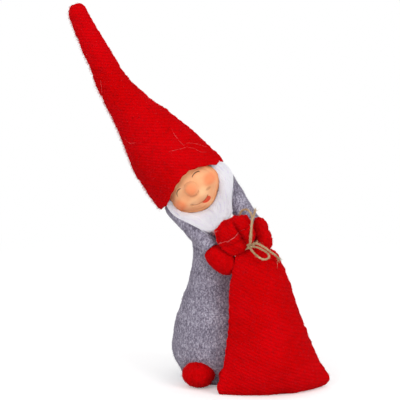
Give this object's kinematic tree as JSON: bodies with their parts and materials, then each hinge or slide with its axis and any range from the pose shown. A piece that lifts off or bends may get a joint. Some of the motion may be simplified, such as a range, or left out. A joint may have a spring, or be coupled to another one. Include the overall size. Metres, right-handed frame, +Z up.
{
  "type": "christmas gnome",
  "caption": "Soft fabric gnome with a tall bendable knitted hat, doll face, white beard and felt body, holding a tied red sack in its mittens.",
  "frame": {"origin": "on the floor, under the middle of the figure's width and depth, loose twine left out", "axes": "+Z up, -Y towards the viewer that the face looks at, +X to the viewer's right, the side of the sack"},
  "size_m": [0.1935, 0.0944, 0.2829],
  "materials": {
    "grey_felt": "mottled grey wool felt with a short nap",
    "red_knit": "fulled red wool knit",
    "red_felt": "dense red wool felt",
    "wadding": "loose polyester filling",
    "beard_fibre": "combed white fibre",
    "doll_skin": "moulded soft skin with painted features",
    "head_foam": "white foam",
    "base_board": "grey-brown board",
    "ballast_canvas": "woven bag filled with grit",
    "steel_wire": "soft steel wire",
    "jute_twine": "two-ply jute twine"
  },
  "bodies": {
    "torso": {"base_felt": "grey_felt", "base_board": "base_board", "body_felt": "grey_felt", "ballast_bag": "ballast_canvas", "body_filling": "wadding", "spine_wire": "steel_wire", "head_ball": "head_foam", "face_mask": "doll_skin", "hat_lower": "red_knit", "hat_filling_lower": "wadding", "hat_wire_lower": "steel_wire", "right_foot": "red_felt", "left_foot": "red_felt", "twine_tie": "jute_twine", "twine_knot": "jute_twine", "twine_loop_high": "jute_twine", "twine_loop_low": "jute_twine", "twine_tail_long": "jute_twine", "twine_tail_short": "jute_twine", "right_sleeve": "grey_felt", "right_sleeve_filling": "wadding", "left_sleeve": "grey_felt", "left_sleeve_filling": "wadding", "right_mitten": "red_felt", "left_mitten": "red_felt", "sack_mouth": "red_knit", "beard": "beard_fibre"},
    "hat_tip": {"hat_upper": "red_knit", "hat_filling_upper": "wadding", "hat_wire_upper": "steel_wire"},
    "sack": {"sack_front": "red_knit", "sack_back": "red_knit", "sack_filling": "wadding"}
  },
  "joints": [
    {"name": "hat_bend", "type": "hinge", "parent": "torso", "child": "hat_tip", "pos_m": [-0.0567, 0.0138, 0.2112], "axis": [0, 1, 0], "range_deg": [-20, 20]},
    {"name": "sack_swing", "type": "hinge", "parent": "torso", "child": "sack", "pos_m": [0.0347, -0.0138, 0.1065], "axis": [-0.9613, -0.2756, 0], "range_deg": [0, 12]}
  ]
}
